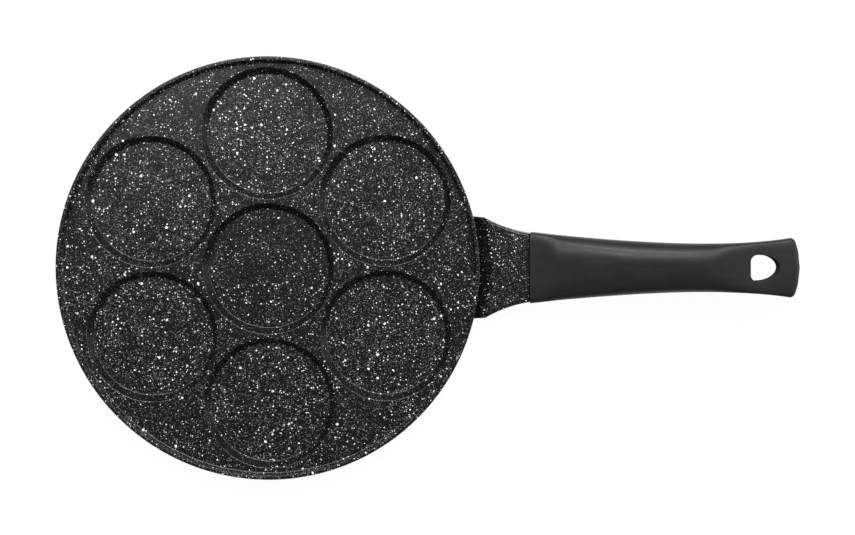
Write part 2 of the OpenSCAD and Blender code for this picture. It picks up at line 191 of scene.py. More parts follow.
class MeshSketch:
    """Vertices and faces of one piece while it is drawn, in millimetres."""

    def __init__(self) -> None:
        """Starts an empty sketch."""
        self.points: list[Point3] = []
        self.faces: list[tuple[int, ...]] = []
        self.slots: list[int] = []
        self.slot = 0

    def add_points(self, points: Iterable[Point3]) -> list[int]:
        """Adds points and returns their numbers."""
        first = len(self.points)
        self.points += list(points)
        return list(range(first, len(self.points)))

    def add_face(self, corners: Sequence[int]) -> None:
        """Adds one face in the present material slot."""
        self.faces.append(tuple(corners))
        self.slots.append(self.slot)

    def bridge(self, a: Sequence[int], b: Sequence[int]) -> None:
        """Joins two closed rings of equal length with a band of quads."""
        n = len(a)
        for i in range(n):
            j = (i + 1) % n
            self.add_face((a[i], a[j], b[j], b[i]))

    def fan(self, ring: Sequence[int], tip: int) -> None:
        """Closes a ring with triangles to one point."""
        n = len(ring)
        for i in range(n):
            self.add_face((ring[i], ring[(i + 1) % n], tip))

    def ring(self, radius: float, z: float, count: int, centre: Point2 = (0.0, 0.0)) -> list[int]:
        """Adds a level circle of points, counter-clockwise from +X, and returns their numbers."""
        return self.add_points((centre[0] + x, centre[1] + y, z) for x, y in circle(radius, count))

    def revolve(
        self, profile: Sequence[Point2], count: int, centre: Point2 = (0.0, 0.0)
    ) -> list[list[int]]:
        """Turns a profile of (radius, height) points round an upright axis.

        Args:
            profile: The points, in the order that makes the faces look outwards.
            count: How many points each ring has.
            centre: Where the axis stands.

        Returns:
            The rings, in the profile's order.
        """
        rings = [self.ring(r, z, count, centre) for r, z in profile]
        for a, b in zip(rings, rings[1:]):
            self.bridge(a, b)
        return rings

    @classmethod
    def lofted(
        cls,
        name: str,
        rows: Sequence[Sequence[Point3]],
        cap: Cap = Cap.POINT,
        slot: int = 0,
    ) -> bpy.types.Object:
        """Makes a closed shape by skinning rows of equal length.

        Args:
            name: The shape's name.
            rows: The rows of points, from one end to the other.
            cap: A fan to a middle point, or strips between the points on either side, which keep
                an end true that is bowed one way.
            slot: The material slot of its faces.

        Returns:
            The shape.
        """
        sketch = cls()
        sketch.slot = slot
        rings = [sketch.add_points(row) for row in rows]
        for a, b in zip(rings, rings[1:]):
            sketch.bridge(a, b)
        for ring, row in ((rings[0][::-1], rows[0]), (rings[-1], rows[-1])):
            if cap is Cap.STRIPS:
                sketch.close_in_strips(ring)
                continue
            middle = sum((Vector(p) for p in row), Vector()) / len(row)
            sketch.fan(ring, sketch.add_points([tuple(middle)])[0])
        return sketch.finish(name)

    def close_in_strips(self, ring: Sequence[int]) -> None:
        """Closes a ring of even length with strips between mirrored points."""
        turned = [ring[-1], *ring[:-1]] if ring[0] > ring[-1] else list(ring)
        n = len(turned)
        self.add_face((turned[0], turned[1], turned[-1]))
        for i in range(1, n // 2 - 1):
            self.add_face((turned[i], turned[i + 1], turned[n - i - 1], turned[n - i]))
        self.add_face((turned[n // 2 - 1], turned[n // 2], turned[n // 2 + 1]))

    def flat_with_holes(self, outer: Sequence[int], holes: Sequence[Sequence[int]], up: bool) -> None:
        """Fills a level area between an outer ring and the rings of its holes.

        Args:
            outer: The outer ring's points.
            holes: One ring of points for each hole.
            up: Whether the area looks up.
        """
        loops = [list(outer), *[list(hole) for hole in holes]]
        numbers = [i for loop in loops for i in loop]
        flat = [Vector(self.points[i][:2]) for i in numbers]
        edges: list[tuple[int, int]] = []
        start = 0
        for loop in loops:
            n = len(loop)
            edges += [(start + i, start + (i + 1) % n) for i in range(n)]
            start += n
        discs = []
        for hole in holes:
            spots = [Vector(self.points[i][:2]) for i in hole]
            middle = sum(spots, Vector((0.0, 0.0))) / len(spots)
            discs.append((middle, (spots[0] - middle).length))
        verts, _, faces, origins, _, _ = delaunay_2d_cdt(flat, edges, [], 1, FILL_ERROR)
        for face in faces:
            middle = sum((verts[i] for i in face), Vector((0.0, 0.0))) / len(face)
            if any((middle - spot).length < radius for spot, radius in discs):
                continue
            ring = [numbers[origins[i][0]] for i in face]
            self.add_face(ring if up else ring[::-1])

    def finish(self, name: str) -> bpy.types.Object:
        """Makes the sketch a Blender object in metres.

        Args:
            name: The object's name.

        Returns:
            The object, linked to the scene and smooth shaded.
        """
        mesh = bpy.data.meshes.new(name)
        mesh.from_pydata([tuple(v * MM for v in p) for p in self.points], [], self.faces)
        mesh.polygons.foreach_set("material_index", self.slots)
        mesh.polygons.foreach_set("use_smooth", [True] * len(self.faces))
        made = bpy.data.objects.new(name, mesh)
        bpy.context.scene.collection.objects.link(made)
        mend(made)
        return made


def mend(piece: bpy.types.Object) -> None:
    """Welds doubled points and turns every face of a piece outwards."""
    sketch = bmesh.new()
    sketch.from_mesh(piece.data)
    bmesh.ops.remove_doubles(sketch, verts=sketch.verts, dist=WELD_WITHIN)
    bmesh.ops.recalc_face_normals(sketch, faces=sketch.faces)
    sketch.to_mesh(piece.data)
    sketch.free()


class Cut(Enum):
    """What a tool shape does to the piece it meets."""

    JOIN = "UNION"
    TAKE = "DIFFERENCE"


def carve(piece: bpy.types.Object, tool: bpy.types.Object, cut: Cut) -> None:
    """Joins a tool shape to a piece, or takes it away, and removes the tool.

    Args:
        piece: The piece that stays.
        tool: The shape that is joined or taken away.
        cut: Which of the two is done.
    """
    boolean = piece.modifiers.new("cut", "BOOLEAN")
    boolean.operation = cut.value
    boolean.solver = "EXACT"
    boolean.object = tool
    bake_modifiers(piece)
    bpy.data.objects.remove(tool)


def bake_modifiers(piece: bpy.types.Object) -> None:
    """Replaces a piece's mesh with the mesh its modifiers make."""
    bpy.context.view_layer.update()
    graph = bpy.context.evaluated_depsgraph_get()
    made = bpy.data.meshes.new_from_object(piece.evaluated_get(graph))
    piece.modifiers.clear()
    piece.data = made


def soften(piece: bpy.types.Object, sharp_from: float) -> None:
    """Shades a piece smooth, with flats kept flat and edges over an angle left sharp.

    Args:
        piece: The piece.
        sharp_from: The angle in degrees from which an edge stays sharp.
    """
    piece.data.polygons.foreach_set("use_smooth", [True] * len(piece.data.polygons))
    piece.data.set_sharp_from_angle(angle=math.radians(sharp_from))
    weighted = piece.modifiers.new("flats", "WEIGHTED_NORMAL")
    weighted.keep_sharp = True
    weighted.weight = FLATS_WEIGHT


# Shader tools


def pick(sockets: Sequence[bpy.types.NodeSocket], key: str | int) -> bpy.types.NodeSocket:
    """Returns one of a node's sockets by its number, identifier or name."""
    if isinstance(key, int):
        return sockets[key]
    return next(socket for socket in sockets if key in (socket.identifier, socket.name))


@dataclass(frozen=True)
class Signal:
    """A node's output socket, with the sums that Python writes as expressions."""

    bench: "Bench"
    socket: bpy.types.NodeSocket

    def output(self, key: str | int) -> "Signal":
        """Returns another output of the same node."""
        return Signal(self.bench, pick(self.socket.node.outputs, key))

    def maths(self, operation: str, *others: "Signal | float", clamp: bool = False) -> "Signal":
        """Adds a Math node on this value and returns its result."""
        settings = {"operation": operation, "use_clamp": clamp}
        return self.bench.node("ShaderNodeMath", settings, {0: self, **dict(enumerate(others, 1))})

    def __add__(self, other: "Signal | float") -> "Signal":
        """Returns the sum."""
        return self.maths("ADD", other)

    __radd__ = __add__

    def __sub__(self, other: "Signal | float") -> "Signal":
        """Returns this less the other."""
        return self.maths("SUBTRACT", other)

    def __rsub__(self, other: float) -> "Signal":
        """Returns the other less this."""
        return self.bench.node("ShaderNodeMath", {"operation": "SUBTRACT"}, {0: other, 1: self})

    def __mul__(self, other: "Signal | float") -> "Signal":
        """Returns the product."""
        return self.maths("MULTIPLY", other)

    __rmul__ = __mul__

    def __pow__(self, other: "Signal | float") -> "Signal":
        """Returns this to the other's power."""
        return self.maths("POWER", other)

    def clamped(self) -> "Signal":
        """Returns this kept between 0 and 1."""
        return self.maths("ADD", 0.0, clamp=True)

    def at_least(self, other: "Signal | float") -> "Signal":
        """Returns the greater of the two."""
        return self.maths("MAXIMUM", other)

    def between(self, low: float, high: float) -> "Signal":
        """Returns 0 below low, 1 above high and a straight ramp between them."""
        return ((self - low) * (1 / (high - low))).clamped()


class Bench:
    """The node tree of one material, or of the world, while it is wired."""

    def __init__(self, owner: bpy.types.Material | bpy.types.World) -> None:
        """Empties the owner's node tree."""
        owner.use_nodes = True
        self.owner = owner
        self.tree = owner.node_tree
        self.tree.nodes.clear()

    @classmethod
    def material(cls, name: str) -> "Bench":
        """Starts a new material of that name."""
        return cls(bpy.data.materials.new(name))

    def node(
        self,
        kind: str,
        settings: dict[str, object] | None = None,
        inputs: dict[str | int, object] | None = None,
        output: str | int = 0,
    ) -> Signal | None:
        """Adds any node.

        Args:
            kind: The node's type.
            settings: Its settings, set first.
            inputs: What each input socket holds: a value, or a Signal to link.
            output: The output socket to return.

        Returns:
            The node's chosen output, or None for a node that ends the tree.
        """
        made = self.tree.nodes.new(kind)
        for key, value in (settings or {}).items():
            setattr(made, key, value)
        for key, value in (inputs or {}).items():
            socket = pick(made.inputs, key)
            if isinstance(value, Signal):
                self.tree.links.new(value.socket, socket)
            else:
                socket.default_value = value
        return Signal(self, pick(made.outputs, output)) if made.outputs else None

    def place(self) -> Signal:
        """Returns the point on the object, in millimetres."""
        return self.scaled(self.node("ShaderNodeTexCoord", output="Object"), 1 / MM)

    def scaled(self, vector: Signal, factor: float) -> Signal:
        """Returns a vector times a number."""
        return self.node(
            "ShaderNodeVectorMath", {"operation": "SCALE"}, {"Vector": vector, "Scale": factor}
        )

    def moved(self, vector: Signal, shift: Point3 | Signal) -> Signal:
        """Returns the sum of two vectors."""
        return self.node("ShaderNodeVectorMath", {"operation": "ADD"}, {0: vector, 1: shift})

    def axes(self, vector: Signal) -> tuple[Signal, Signal, Signal]:
        """Returns a vector's three numbers."""
        x = self.node("ShaderNodeSeparateXYZ", {}, {0: vector})
        return x, x.output(1), x.output(2)

    def joined(self, **axes: Signal) -> Signal:
        """Returns a vector from the numbers given as X, Y and Z."""
        return self.node("ShaderNodeCombineXYZ", {}, axes)

    def seen(self, onward: float = 1.0) -> Signal:
        """Returns 1 for rays from the camera, and onward for those that metal and glass send on."""
        camera = self.node("ShaderNodeLightPath", output="Is Camera Ray")
        sent = camera.output("Is Glossy Ray") + camera.output("Is Transmission Ray")
        return (camera + sent * onward).clamped()

    def noise(self, at: Signal, size: float, detail: float = 2.0, colour: bool = False) -> Signal:
        """Returns cloudy noise whose lumps are about size millimetres across."""
        return self.node(
            "ShaderNodeTexNoise",
            {"noise_dimensions": "3D"},
            {"Vector": at, "Scale": 1 / size, "Detail": detail},
            "Color" if colour else 0,
        )

    def mixed(self, share: Signal | float, a: Colour | Signal, b: Colour | Signal) -> Signal:
        """Returns colour a turning to colour b as share goes from 0 to 1."""
        return self.node(
            "ShaderNodeMix",
            {"data_type": "RGBA"},
            {"Factor_Float": share, "A_Color": a, "B_Color": b},
            "Result_Color",
        )

    def bump(self, height: Signal, depth: float, strength: float = 1.0) -> Signal:
        """Returns a normal from a height between 0 and 1 that stands for depth millimetres."""
        return self.node(
            "ShaderNodeBump",
            {},
            {"Height": height, "Distance": depth * MM, "Strength": strength},
            "Normal",
        )

    def surface(self, **inputs: object) -> bpy.types.Material:
        """Ends the tree in a Principled shader with these inputs and returns the material."""
        named = {key.replace("_", " "): value for key, value in inputs.items()}
        return self.ended(self.node("ShaderNodeBsdfPrincipled", {}, named))

    def ended(self, shader: Signal) -> bpy.types.Material | bpy.types.World:
        """Sends a shader to the tree's output and returns the tree's owner."""
        room = isinstance(self.owner, bpy.types.World)
        kind = "ShaderNodeOutputWorld" if room else "ShaderNodeOutputMaterial"
        self.node(kind, {}, {"Surface": shader})
        return self.owner


# Finishes


@dataclass(frozen=True)
class FleckLayer:
    """One size of pale flecks in the coat."""

    cell: float
    radius: float
    share: float
    palest: float
    shift: Point3
    ragged: float = 1.5
    edge: float = 0.06
    fullness: float = 0.35
    dimmest: float = 0.6

    def cover(self, bench: Bench, at: Signal, crowd: Signal) -> Signal:
        """Scatters this layer's flecks.

        Args:
            bench: The material's node tree.
            at: The place in millimetres.
            crowd: How crowded the flecks are there, about 1.

        Returns:
            How white the coat is there, from 0 to the layer's palest.
        """
        lumps = bench.noise(at, self.radius, colour=True)
        centred = bench.moved(lumps, (-0.5, -0.5, -0.5))
        rough = bench.moved(at, bench.scaled(centred, self.radius * self.ragged))
        distance = bench.node(
            "ShaderNodeTexVoronoi",
            {"voronoi_dimensions": "3D", "feature": "F1"},
            {"Vector": bench.moved(rough, self.shift), "Scale": 1 / self.cell},
            "Distance",
        )
        chance, tone, _ = bench.axes(distance.output("Color"))
        reach = (chance - 1.0 + crowd * self.share) * (1 / self.share)
        radius = reach.clamped() ** self.fullness * self.radius
        inside = ((radius - distance * self.cell) * (1 / self.edge)).clamped()
        return inside * (tone * (1 - self.dimmest) + self.dimmest) * self.palest


@dataclass(frozen=True)
class SpeckledCoat:
    """Black non-stick coat with white flecks of several sizes and a fine grey grain.

    The flecks are thinner in the middle well, on the wells' walls, on the deck and in the neck's
    hollow. On the wells' walls and in the neck's hollow the thinning is painted shade: fewer white
    flecks make these recesses darker. Each such place is given as a range of radii or heights over
    which the change comes.
    """

    black: float = 0.001
    shade: float = 0.012
    white: float = 0.98
    roughness: float = 0.27
    gloss: float = 0.32
    grain_size: float = 0.8
    grain_range: Span = (0.4, 0.7)
    cloud_size: float = 13.0
    cloud_range: Span = (0.28, 0.72)
    fewest: float = 0.8
    cloud_share: float = 0.4
    middle_crowd: float = 0.75
    middle_edge: Span = (36.0, 46.0)
    # painted shade: fewer white flecks in the neck's hollow behind the rim make it darker
    hollow_shade_crowd: float = 0.45
    hollow_shade_start: Span = (130.2, 131.0)
    hollow_shade_end: Span = (134.0, 136.5)
    # painted shade: fewer white flecks on the wells' walls, between these heights and inside the basin
    # edge, make the walls darker
    wall_shade_crowd: float = 0.5
    wall_shade_foot: Span = (5.3, 6.0)
    basin_edge: Span = (122.0, 124.0)
    deck_crowd: float = 0.9
    deck_level: Span = (9.8, 10.4)
    relief_size: float = 1.6
    relief_depth: float = 0.03
    relief_strength: float = 0.7
    grain_relief: float = 0.7
    lump_relief: float = 0.5
    grain_rough: float = 0.12
    cloud_rough: float = 0.06
    layers: tuple[FleckLayer, ...] = (
        FleckLayer(5.0, 0.86, 0.40, 1.0, (3.1, 7.7, 1.3)),
        FleckLayer(2.3, 0.55, 0.33, 1.0, (11.9, 2.3, 5.9)),
        FleckLayer(1.25, 0.38, 0.26, 1.0, (5.3, 17.1, 9.4)),
        FleckLayer(0.85, 0.34, 0.75, 0.22, (2.7, 13.3, 21.8)),
    )

    def material(self) -> bpy.types.Material:
        """Wires the coat and returns its material."""
        bench = Bench.material("speckled_coat")
        at = bench.place()
        fine = bench.noise(at, self.grain_size, detail=1.0)
        cloud = bench.noise(at, self.cloud_size)
        crowd = cloud.between(*self.cloud_range) * self.cloud_share + self.fewest
        crowd = crowd * self.thinned(bench, at)
        grain = fine.between(*self.grain_range)
        colour = bench.mixed(grain, grey(self.black), grey(self.black + self.shade))
        cover = reduce(Signal.at_least, [layer.cover(bench, at, crowd) for layer in self.layers])
        colour = bench.mixed(cover, colour, grey(self.white))
        relief = fine * self.grain_relief + bench.noise(at, self.relief_size) * self.lump_relief
        normal = bench.bump(relief, self.relief_depth, self.relief_strength)
        roughness = self.roughness + (fine - 0.5) * self.grain_rough + (cloud - 0.5) * self.cloud_rough
        return bench.surface(
            Base_Color=colour,
            Roughness=roughness.clamped(),
            Specular_IOR_Level=self.gloss,
            Normal=normal,
        )

    def thinned(self, bench: Bench, at: Signal) -> Signal:
        """Thins the flecks out place by place.

        Args:
            bench: The material's node tree.
            at: The place in millimetres.

        Returns:
            The share of the flecks that is left there; its dips on the wells' walls and in the neck's
            hollow are painted shade.
        """
        x, y, z = bench.axes(at)
        radius = (x * x + y * y) ** 0.5
        outer = self.middle_crowd + radius.between(*self.middle_edge) * (1 - self.middle_crowd)
        # painted shade: the neck's hollow loses flecks so that it reads darker
        hollow = radius.between(*self.hollow_shade_start) * (1 - radius.between(*self.hollow_shade_end))
        neck = 1 - hollow * (1 - self.hollow_shade_crowd)
        high = z.between(*self.deck_level)
        # painted shade: the wells' walls lose flecks so that they read darker
        slope = z.between(*self.wall_shade_foot) * (1 - high) * (1 - radius.between(*self.basin_edge))
        level = 1 - high * (1 - self.deck_crowd) - slope * (1 - self.wall_shade_crowd)
        return outer * neck * level


@dataclass(frozen=True)
class CircledMetal:
    """Bare metal with fine circles round the pan's axis: faced on a lathe unless told otherwise.

    With broken at 0 the circles are whole, as a lathe leaves them. Above it they break off, as
    those of a brush do.
    """

    name: str = "turned_aluminium"
    pale: float = 0.62
    dark: float = 0.42
    line: float = 0.45
    line_detail: float = 3.0
    line_share: float = 0.7
    broken: float = 0.0
    stain: float = 24.0
    stain_detail: float = 3.0
    stain_share: float = 0.5
    shade_range: Span = (0.25, 0.95)
    depth: float = 0.02
    strength: float = 0.7
    roughness: float = 0.30
    rougher: float = 0.16

    def material(self) -> bpy.types.Material:
        """Wires the metal and returns its material."""
        bench = Bench.material(self.name)
        at = bench.place()
        x, y, _ = bench.axes(at)
        turned = bench.joined(X=(x * x + y * y) ** 0.5, Y=y.maths("ARCTAN2", x) * self.broken)
        circles = bench.noise(turned, self.line, self.line_detail)
        stain = bench.noise(at, self.stain, self.stain_detail)
        shade = (circles * self.line_share + stain * self.stain_share).between(*self.shade_range)
        return bench.surface(
            Base_Color=bench.mixed(shade, grey(self.dark), grey(self.pale)),
            Metallic=1.0,
            Roughness=self.roughness + (1 - shade) * self.rougher,
            Normal=bench.bump(circles, self.depth, self.strength),
        )


BRUSHED_STEEL = CircledMetal(
    name="brushed_disc_steel",
    pale=0.60,
    dark=0.44,
    line=0.5 / 3,
    line_detail=4.0,
    line_share=0.9,
    broken=1.0,
    stain=18.0,
    stain_detail=2.0,
    stain_share=0.3,
    shade_range=(0.3, 0.95),
    depth=0.012,
    strength=0.6,
    roughness=0.26,
    rougher=0.14,
)


@dataclass(frozen=True)
class MouldedPhenolic:
    """Black moulded grip: satin, a little blotched, with faint handling marks along it.

    It is a little rougher at its collar and towards its far end, each over a range of places
    along the handle.
    """

    name: str = "moulded_phenolic"
    black: float = 0.014
    roughness: float = 0.32
    collar_rough: float = 0.05
    collar_fade: Span = (166.0, 215.0)
    tip_rough: float = 0.12
    tip_fade: Span = (252.0, 284.0)
    worn: float = 0.08
    worn_range: Span = (0.3, 0.75)
    gloss: float = 0.17
    darkest: float = 0.85
    palest: float = 1.25
    pit_size: float = 0.4
    pit_depth: float = 0.02
    pit_strength: float = 0.35
    cloud_size: float = 14.0
    cloud_share: float = 0.6
    cloud_rough: float = 0.10
    rub_size: float = 1.6
    rub_stretch: float = 0.06
    rub_share: float = 0.4
    rub_rough: float = 0.04
    patch_size: float = 4.0
    patch_stretch: float = 0.22

    def material(self) -> bpy.types.Material:
        """Wires the plastic and returns its material."""
        bench = Bench.material(self.name)
        at = bench.place()
        x, y, z = bench.axes(at)
        pits = bench.noise(at, self.pit_size)
        cloud = bench.noise(at, self.cloud_size, detail=3.0)
        rub = bench.noise(bench.joined(X=x * self.rub_stretch, Y=y, Z=z), self.rub_size, detail=3.0)
        patch = bench.noise(bench.joined(X=x * self.patch_stretch, Y=y, Z=z), self.patch_size, detail=1.0)
        worn = patch.between(*self.worn_range)
        collar = 1 - x.between(*self.collar_fade)
        tip = x.between(*self.tip_fade)
        tone = (cloud * self.cloud_share + rub * self.rub_share).between(*self.worn_range)
        colour = bench.mixed(tone, grey(self.black * self.darkest), grey(self.black * self.palest))
        roughness = self.roughness + collar * self.collar_rough + tip * self.tip_rough - worn * self.worn
        roughness = roughness + (cloud - 0.5) * self.cloud_rough + (rub - 0.5) * self.rub_rough
        normal = bench.bump(pits, self.pit_depth, self.pit_strength)
        return bench.surface(
            Base_Color=colour,
            Roughness=roughness,
            Specular_IOR_Level=self.gloss,
            Normal=normal,
        )


@dataclass(frozen=True)
class ZincSteel:
    """Zinc-plated steel of the screw and washers."""

    tint: Colour = (0.60, 0.61, 0.63, 1.0)
    shade: Colour = (0.42, 0.43, 0.44, 1.0)
    bloom_size: float = 1.8
    bloom_range: Span = (0.3, 0.7)
    roughness: float = 0.28
    rougher: float = 0.18
    grain_size: float = 0.25
    depth: float = 0.008
    strength: float = 0.5

    def material(self) -> bpy.types.Material:
        """Wires the plating and returns its material."""
        bench = Bench.material("zinc_steel")
        at = bench.place()
        bloom = bench.noise(at, self.bloom_size, detail=3.0)
        fine = bench.noise(at, self.grain_size)
        colour = bench.mixed(bloom.between(*self.bloom_range), self.shade, self.tint)
        return bench.surface(
            Base_Color=colour,
            Metallic=1.0,
            Roughness=self.roughness + bloom * self.rougher,
            Normal=bench.bump(fine, self.depth, self.strength),
        )


@dataclass(frozen=True)
class PaleFloor:
    """Matte white floor that the camera sees as near white, with the pan's soft shadow on it."""

    paint: float = 0.86
    glow: float = 0.97
    mottle: float = 0.01
    mottle_size: float = 60.0

    def material(self) -> bpy.types.Material:
        """Wires the floor and returns its material."""
        bench = Bench.material("pale_floor")
        tone = bench.noise(bench.place(), self.mottle_size)
        colour = bench.mixed(tone, grey(self.paint - self.mottle), grey(self.paint + self.mottle))
        matte = bench.node("ShaderNodeBsdfDiffuse", {}, {"Color": colour})
        light = bench.node("ShaderNodeEmission", {}, {"Color": grey(1.0), "Strength": 1.0})
        share = bench.seen() * self.glow
        return bench.ended(bench.node("ShaderNodeMixShader", {}, {0: share, 1: matte, 2: light}))


@dataclass(frozen=True)
class StudioAir:
    """The room's soft light, which the camera sees as white and shiny surfaces see as it is."""

    ambient: float = 0.14
    mirrored: float = 0.0

    def light(self) -> None:
        """Gives the scene its world."""
        bench = Bench(bpy.data.worlds.new("studio_world"))
        soft = bench.node("ShaderNodeBackground", {}, {"Color": grey(1.0), "Strength": self.ambient})
        white = bench.node("ShaderNodeBackground", {}, {"Color": grey(1.0), "Strength": 1.0})
        share = bench.seen(self.mirrored)
        bpy.context.scene.world = bench.ended(
            bench.node("ShaderNodeMixShader", {}, {0: share, 1: soft, 2: white})
        )


# Pieces


@dataclass
class Casting:
    """The coated pan, its neck and the tongue inside the grip: one casting."""

    rim_d: float = 260.0
    height: float = 16.0
    deck_h: float = 10.5
    rim_t: float = 2.3
    wall_draft: float = 18.0
    basin_draft: float = 8.0
    base_round: float = 5.0
    deck_fillet: float = 1.2
    lip_round: float = 0.7
    lip_inner: float = 0.5
    well_depth: float = 5.3
    well_draft: float = 33.0
    web: float = 2.6
    edge_web: float = 2.4
    well_fillet: float = 0.8
    mouth_round: float = 0.7
    neck_root_w: float = 62.8
    neck_root_t: float = 5.0
    neck_l: float = 31.4
    neck_level: float = 2.0
    neck_sweep: float = 0.6
    neck_end_w: float = 42.2
    neck_end_t: float = 13.8
    neck_drop: float = 8.5
    neck_fillet: float = 1.8
    neck_bite: float = 0.15
    neck_flare: float = 2.6
    flare_in: float = 0.5
    root_in: float = 4.0
    climb: float = 45.0
    climb_l: float = 6.6
    crest_round: float = 5.0
    crest_fall: float = 8.0
    fall_l: float = 1.0
    dip_round: float = 7.0
    neck_round: float = 1.6
    neck_chamfer: float = 0.4
    rise: float = 11.0
    disc_d: float = 200.0
    disc_t: float = 0.8
    disc_hole_d: float = 6.5
    disc_margin: float = 14.0
    disc_gap: float = 0.15
    disc_rings: int = 4
    tongue_w: float = 26.0
    tongue_t: float = 5.0
    tongue_l: float = 36.0
    tongue_up: float = 2.4
    screw_d: float = 5.0
    screw_at: float = 20.0
    thread_gap: float = 0.05
    tongue_root: float = 4.0
    tongue_edge: float = 0.8
    tongue_tip: float = 0.94
    rim_points: int = 288
    well_points: int = 96
    boss_points: int = 24
    thread_points: int = 48
    sharp_from: float = 48.0
    coat: SpeckledCoat = field(default_factory=SpeckledCoat)
    base_metal: CircledMetal = field(default_factory=CircledMetal)

    COAT_SLOT = 0
    METAL_SLOT = 1

    @property
    def rim_r(self) -> float:
        """The rim's radius."""
        return self.rim_d / 2

    @property
    def lip_r(self) -> float:
        """The radius at which the outer wall would meet the rim's top, were it not rounded."""
        half = math.radians(45 - self.wall_draft / 2)
        return self.rim_r + self.lip_round * (1 / math.tan(half) - 1)

    @property
    def basin_r(self) -> float:
        """The radius at which the inner wall would meet the deck."""
        lean = math.tan(math.radians(self.basin_draft))
        return self.rim_r - self.rim_t - (self.height - self.deck_h) * lean

    @property
    def well_d(self) -> float:
        """The diameter of a well's mouth, from seven equal wells that fill the deck."""
        turn = self.deck_fillet * math.tan(math.radians(45 - self.basin_draft / 2))
        return (self.basin_r - turn - self.edge_web - self.web) * 2 / 3

    @property
    def well_centres(self) -> list[Point2]:
        """The middles of the seven wells."""
        pitch = self.well_d + self.web
        return [(0.0, 0.0), *[(y, x) for x, y in circle(pitch, 6)]]

    @property
    def hollow(self) -> Point2:
        """The middle of the round hollow behind the rim, as a radius and a height."""
        z = self.height - self.neck_drop + self.neck_fillet
        wall = self.lip_r - (self.height - z) * math.tan(math.radians(self.wall_draft))
        return wall + self.neck_fillet - self.neck_bite, z

    @property
    def crest(self) -> Vector:
        """The middle of the round crest at the top of the neck's climb."""
        across = spoke(self.neck_fillet + self.crest_round, self.climb - 90)
        return Vector(self.hollow) + across + spoke(self.climb_l, self.climb)

    @property
    def dip(self) -> Vector:
        """The middle of the round dip behind the crest."""
        up = spoke(self.crest_round + self.dip_round, 90 - self.crest_fall)
        return self.crest + spoke(self.fall_l, -self.crest_fall) + up

    @property
    def slope_start(self) -> Vector:
        """Where the dip turns into the neck's long slope."""
        return self.dip + spoke(self.dip_round, self.rise - 90)

    @property
    def joint(self) -> Vector:
        """The middle of the joint between neck and grip."""
        lean = math.radians(self.rise)
        r, z = self.slope_start
        x = self.rim_r + self.neck_l
        top = z + (x - r) * math.tan(lean)
        return Vector((x, 0.0, top - self.neck_end_t / 2 / math.cos(lean)))

    def build(self) -> bpy.types.Object:
        """Makes the casting's mesh and dresses it.

        Returns:
            The finished piece.
        """
        sketch = MeshSketch()
        recess_edge = self.draw_rim_and_deck(sketch)
        self.draw_base(sketch, recess_edge)
        piece = sketch.finish("pan_casting_coated")
        for finish in (self.coat, self.base_metal):
            piece.data.materials.append(finish.material())
        carve(piece, self.neck_shape(), Cut.JOIN)
        carve(piece, self.tongue_shape(), Cut.JOIN)
        carve(piece, self.tapped_hole(), Cut.TAKE)
        soften(piece, self.sharp_from)
        return piece

    def draw_rim_and_deck(self, sketch: MeshSketch) -> list[int]:
        """Draws the rim, both walls, the deck and the wells.

        Args:
            sketch: The sketch they are added to.

        Returns:
            The ring at the edge of the base's recess.
        """
        foot = self.lip_r - self.height * math.tan(math.radians(self.wall_draft))
        inner = self.rim_r - self.rim_t
        profile = path(
            [
                Corner(self.basin_r - 8, self.deck_h),  # only gives a direction, and is dropped
                Corner(self.basin_r, self.deck_h, self.deck_fillet),
                Corner(inner, self.height, self.lip_inner),
                Corner(self.lip_r, self.height, self.lip_round),
                Corner(foot, 0.0, self.base_round),
                Corner(self.disc_d / 2 + self.disc_gap, 0.0),
            ]
        )[1:]
        rings = sketch.revolve(profile[::-1], self.rim_points)
        mouths = [self.draw_well(sketch, centre) for centre in self.well_centres]
        sketch.flat_with_holes(rings[-1], mouths, up=True)
        return rings[0]

    def draw_well(self, sketch: MeshSketch, centre: Point2) -> list[int]:
        """Draws one well.

        Args:
            sketch: The sketch it is added to.
            centre: The well's middle.

        Returns:
            The ring at the well's mouth.
        """
        floor_h = self.deck_h - self.well_depth
        mouth_r = self.well_d / 2
        floor_r = mouth_r - self.well_depth * math.tan(math.radians(self.well_draft))
        profile = path(
            [
                Corner(mouth_r + 4, self.deck_h),  # only gives a direction, and is dropped
                Corner(mouth_r, self.deck_h, self.mouth_round),
                Corner(floor_r, floor_h, self.well_fillet),
                Corner(floor_r / 2, floor_h),
            ]
        )[1:]
        rings = sketch.revolve(profile, self.well_points, centre)
        sketch.fan(rings[-1], sketch.add_points([(*centre, floor_h)])[0])
        return rings[0]

    def draw_base(self, sketch: MeshSketch, recess_edge: Sequence[int]) -> None:
        """Draws the disc's recess and the bosses that fill the disc's holes.

        Args:
            sketch: The sketch they are added to.
            recess_edge: The ring at the edge of the recess.
        """
        sketch.slot = self.METAL_SLOT
        edge_r = self.disc_d / 2 + self.disc_gap
        ceiling = sketch.ring(edge_r, self.disc_t, self.rim_points)
        sketch.bridge(recess_edge, ceiling)
        boss_r = self.disc_hole_d / 2 - self.disc_gap
        pitch = (self.disc_d / 2 - self.disc_margin) / self.disc_rings
        feet = []
        for row in range(1, self.disc_rings + 1):
            for centre in circle(row * pitch, 6 * row):
                foot = sketch.ring(boss_r, self.disc_t, self.boss_points, centre)
                tip = sketch.ring(boss_r, 0.0, self.boss_points, centre)
                sketch.bridge(foot, tip)
                sketch.add_face(tip)
                feet.append(foot)
        sketch.flat_with_holes(ceiling, feet, up=False)
        sketch.slot = self.COAT_SLOT

